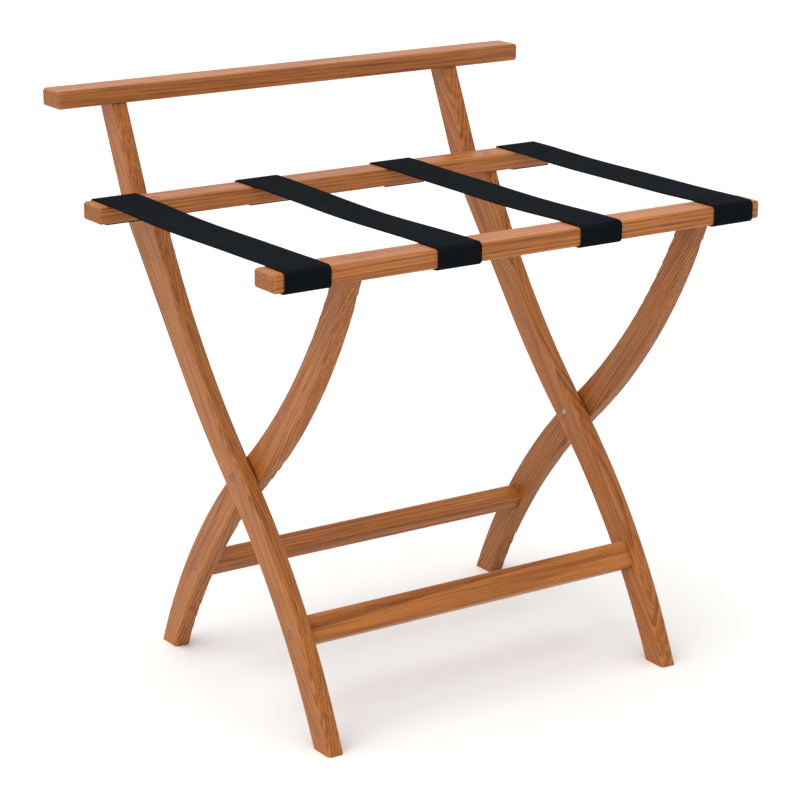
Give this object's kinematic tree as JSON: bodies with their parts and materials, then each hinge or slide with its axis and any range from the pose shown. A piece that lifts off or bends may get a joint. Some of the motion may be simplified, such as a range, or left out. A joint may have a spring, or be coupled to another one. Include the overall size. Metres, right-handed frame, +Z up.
{
  "type": "folding luggage rack",
  "caption": "Folding wooden luggage rack: two crossed frames with curved legs turning on side pivots, webbing straps across the seat rails and a raised guard rail at the back.",
  "frame": {"origin": "on the floor, in the middle of the rack's box", "axes": "+X along the rails towards the right, +Y from the front towards the guard rail at the back, +Z up"},
  "size_m": [0.584, 0.4607, 0.603],
  "materials": {
    "oak": "satin, stained",
    "plug_wood": "satin, stained",
    "webbing": "woven",
    "fastener_steel": "zinc plated",
    "bolt_steel": "satin",
    "insert_brass": "plain",
    "washer": "matte"
  },
  "bodies": {
    "tall_frame": {"tall_leg_left": "oak", "tall_leg_right": "oak", "guard_rail": "oak", "back_seat_rail": "oak", "front_stretcher": "oak", "guard_dowels": "plug_wood", "back_rail_screws": "fastener_steel", "back_rail_plugs": "plug_wood", "front_stretcher_screws": "fastener_steel", "front_stretcher_plugs": "plug_wood", "back_staples": "fastener_steel", "strap_1": "webbing", "strap_2": "webbing", "strap_3": "webbing", "strap_4": "webbing", "pivot_washer_left": "washer", "pivot_washer_right": "washer", "pivot_plug_left": "plug_wood", "pivot_bolt_right": "bolt_steel", "pivot_insert_right": "insert_brass"},
    "curved_frame": {"curved_leg_left": "oak", "curved_leg_right": "oak", "front_seat_rail": "oak", "back_stretcher": "oak", "front_rail_screws": "fastener_steel", "front_rail_plugs": "plug_wood", "back_stretcher_screws": "fastener_steel", "back_stretcher_plugs": "plug_wood", "front_staples": "fastener_steel", "pivot_bolt_left": "bolt_steel", "pivot_insert_left": "insert_brass", "pivot_plug_right": "plug_wood"}
  },
  "joints": [
    {"name": "fold", "type": "hinge", "parent": "tall_frame", "child": "curved_frame", "pos_m": [0, -0.03814, 0.23925], "axis": [-1, 0, 0], "range_deg": [0, 60], "deforming": ["strap_1", "strap_2", "strap_3", "strap_4"]}
  ]
}
